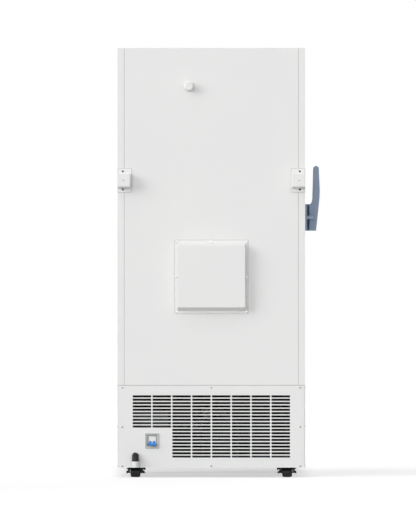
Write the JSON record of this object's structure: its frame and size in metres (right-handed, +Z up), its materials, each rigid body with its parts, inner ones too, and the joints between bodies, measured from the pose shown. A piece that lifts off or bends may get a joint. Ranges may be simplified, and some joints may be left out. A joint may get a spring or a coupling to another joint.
{
  "type": "ultra-low temperature freezer",
  "caption": "Upright insulated laboratory freezer on casters, with a hinged outer door and lever handle, inner doors, shelves, a vented machine room below and wall spacers behind.",
  "frame": {"origin": "on the floor, below the middle of the cabinet body", "axes": "+Z up, the door faces -Y and the vented rear faces +Y; the door's hinge side is +X"},
  "size_m": [0.9464, 1.034, 1.98],
  "materials": {
    "white_paint": "fine-textured white powder coat, satin",
    "frame_zinc": "zinc-plated folded sheet",
    "stainless": "brushed stainless sheet",
    "foam": "rigid cream-coloured insulating foam",
    "white_plastic": "moulded white plastic, satin",
    "seal_grey": "soft grey seal, matt",
    "copper": "drawn copper tube, slightly dull",
    "aluminium": "plain mill-finish aluminium",
    "black_paint": "black enamel, semi-gloss",
    "screw_zinc": "bright zinc-plated screws",
    "bezel_grey": "mid-grey moulded plastic",
    "breaker_white": "white moulded switch body",
    "toggle_blue": "bright blue moulded toggle",
    "elbow_grey": "dark grey moulded cord elbow",
    "sleeve_grey": "near-white ribbed sleeve",
    "black_plastic": "black moulded plastic",
    "wheel_black": "black hard tread, matt",
    "handle_blue": "blue-grey moulded plastic, satin",
    "screen_black": "black glossy screen surround",
    "filter_grey": "coarse dark grey filter mat",
    "rubber_black": "black rubber grommets",
    "box_grey": "grey painted box"
  },
  "bodies": {
    "cabinet": {"side_panel_left": "white_paint", "side_panel_right": "white_paint", "top_panel": "white_paint", "rear_panel": "white_paint", "cabinet_foam": "foam", "front_trim": "white_plastic", "inner_liner": "stainless", "evaporator_tube": "copper", "shelves": "stainless", "inner_door_seals": "seal_grey", "heat_exchanger": "stainless", "service_cover": "white_paint", "panel_screws": "screw_zinc", "wall_spacers": "white_paint", "test_port_sleeve": "white_plastic", "rear_vent_cover": "white_paint", "lower_side_panels": "white_paint", "base_frame": "frame_zinc", "breaker_bezel": "bezel_grey", "breaker_body": "breaker_white", "cord_elbow": "elbow_grey", "conduit_sleeve": "sleeve_grey", "compressors": "black_paint", "compressor_mounts": "rubber_black", "condenser": "aluminium", "fan_shroud": "black_plastic", "fan_motor": "black_paint", "oil_separator": "black_paint", "refrigerant_pipes": "copper", "control_box": "box_grey", "hinge_brackets": "stainless", "latch_strike": "handle_blue"},
    "door": {"door_shell": "white_paint", "door_foam": "foam", "door_liner": "white_plastic", "door_gasket": "seal_grey", "display_panel": "screen_black", "handle_base": "handle_blue"},
    "handle": {"handle_lever": "handle_blue", "latch_cam": "handle_blue"},
    "lock": {"lock_barrel": "screw_zinc"},
    "port_plug": {"test_port_plug": "white_plastic"},
    "breaker_switch": {"breaker_toggle": "toggle_blue"},
    "fan": {"fan_blades": "aluminium"},
    "grille": {"front_grille": "white_paint", "air_filter": "filter_grey"},
    "foot_left": {"levelling_foot_left": "frame_zinc"},
    "foot_right": {"levelling_foot_right": "frame_zinc"},
    "inner_door_1": {"inner_door_1": "white_plastic"},
    "inner_door_2": {"inner_door_2": "white_plastic"},
    "inner_door_3": {"inner_door_3": "white_plastic"},
    "inner_door_4": {"inner_door_4": "white_plastic"},
    "fork_rear_left": {"caster_fork_rear_left": "black_plastic"},
    "wheel_rear_left": {"caster_wheel_rear_left": "wheel_black"},
    "fork_rear_right": {"caster_fork_rear_right": "black_plastic"},
    "wheel_rear_right": {"caster_wheel_rear_right": "wheel_black"},
    "fork_front_left": {"caster_fork_front_left": "black_plastic"},
    "wheel_front_left": {"caster_wheel_front_left": "wheel_black"},
    "fork_front_right": {"caster_fork_front_right": "black_plastic"},
    "wheel_front_right": {"caster_wheel_front_right": "wheel_black"}
  },
  "joints": [
    {"name": "door_hinge", "type": "hinge", "parent": "cabinet", "child": "door", "pos_m": [0.4165, -0.492, 1.2], "axis": [0, 0, 1], "range_deg": [0, 110]},
    {"name": "handle_turn", "type": "hinge", "parent": "door", "child": "handle", "pos_m": [-0.456, -0.52, 1.2035], "axis": [0, 0, 1], "range_deg": [0, 60]},
    {"name": "lock_turn", "type": "hinge", "parent": "door", "child": "lock", "pos_m": [-0.3875, -0.542, 1.2035], "axis": [0, 1, 0], "range_deg": [0, 90]},
    {"name": "port_plug_pull", "type": "slide", "parent": "cabinet", "child": "port_plug", "axis": [0, 1, 0], "range_m": [0, 0.1]},
    {"name": "breaker_flip", "type": "hinge", "parent": "cabinet", "child": "breaker_switch", "pos_m": [0.273, 0.427, 0.16], "axis": [1, 0, 0], "range_deg": [0, 60]},
    {"name": "fan_spin", "type": "hinge", "parent": "cabinet", "child": "fan", "pos_m": [0, -0.264, 0.225], "axis": [0, 1, 0], "continuous": true},
    {"name": "grille_tilt", "type": "hinge", "parent": "cabinet", "child": "grille", "pos_m": [0, -0.45, 0.049], "axis": [1, 0, 0], "range_deg": [0, 80]},
    {"name": "inner_door_hinge_1", "type": "hinge", "parent": "cabinet", "child": "inner_door_1", "pos_m": [0.2965, -0.405, 0.71025], "axis": [0, 0, 1], "range_deg": [0, 95]},
    {"name": "inner_door_hinge_2", "type": "hinge", "parent": "cabinet", "child": "inner_door_2", "pos_m": [0.2965, -0.405, 1.03875], "axis": [0, 0, 1], "range_deg": [0, 95]},
    {"name": "inner_door_hinge_3", "type": "hinge", "parent": "cabinet", "child": "inner_door_3", "pos_m": [0.2965, -0.405, 1.36725], "axis": [0, 0, 1], "range_deg": [0, 95]},
    {"name": "inner_door_hinge_4", "type": "hinge", "parent": "cabinet", "child": "inner_door_4", "pos_m": [0.2965, -0.405, 1.69575], "axis": [0, 0, 1], "range_deg": [0, 95]},
    {"name": "foot_screw_left", "type": "slide", "parent": "cabinet", "child": "foot_left", "axis": [0, 0, 1], "range_m": [-0.01, 0.02]},
    {"name": "foot_screw_right", "type": "slide", "parent": "cabinet", "child": "foot_right", "axis": [0, 0, 1], "range_m": [-0.01, 0.02]},
    {"name": "swivel_rear_left", "type": "hinge", "parent": "cabinet", "child": "fork_rear_left", "pos_m": [-0.35, 0.3575, 0.055], "axis": [0, 0, 1], "continuous": true},
    {"name": "roll_rear_left", "type": "hinge", "parent": "fork_rear_left", "child": "wheel_rear_left", "pos_m": [-0.35, 0.3755, 0.0235], "axis": [1, 0, 0], "continuous": true},
    {"name": "swivel_rear_right", "type": "hinge", "parent": "cabinet", "child": "fork_rear_right", "pos_m": [0.35, 0.3575, 0.055], "axis": [0, 0, 1], "continuous": true},
    {"name": "roll_rear_right", "type": "hinge", "parent": "fork_rear_right", "child": "wheel_rear_right", "pos_m": [0.35, 0.3755, 0.0235], "axis": [1, 0, 0], "continuous": true},
    {"name": "swivel_front_left", "type": "hinge", "parent": "cabinet", "child": "fork_front_left", "pos_m": [-0.35, -0.294, 0.055], "axis": [0, 0, 1], "continuous": true},
    {"name": "roll_front_left", "type": "hinge", "parent": "fork_front_left", "child": "wheel_front_left", "pos_m": [-0.35, -0.276, 0.0235], "axis": [1, 0, 0], "continuous": true},
    {"name": "swivel_front_right", "type": "hinge", "parent": "cabinet", "child": "fork_front_right", "pos_m": [0.35, -0.294, 0.055], "axis": [0, 0, 1], "continuous": true},
    {"name": "roll_front_right", "type": "hinge", "parent": "fork_front_right", "child": "wheel_front_right", "pos_m": [0.35, -0.276, 0.0235], "axis": [1, 0, 0], "continuous": true}
  ],
  "couplings": [
    {"joint": "inner_door_hinge_1", "follows": "door_hinge", "ratio": 0.8},
    {"joint": "inner_door_hinge_2", "follows": "door_hinge", "ratio": 0.8},
    {"joint": "inner_door_hinge_3", "follows": "door_hinge", "ratio": 0.8},
    {"joint": "inner_door_hinge_4", "follows": "door_hinge", "ratio": 0.8}
  ]
}
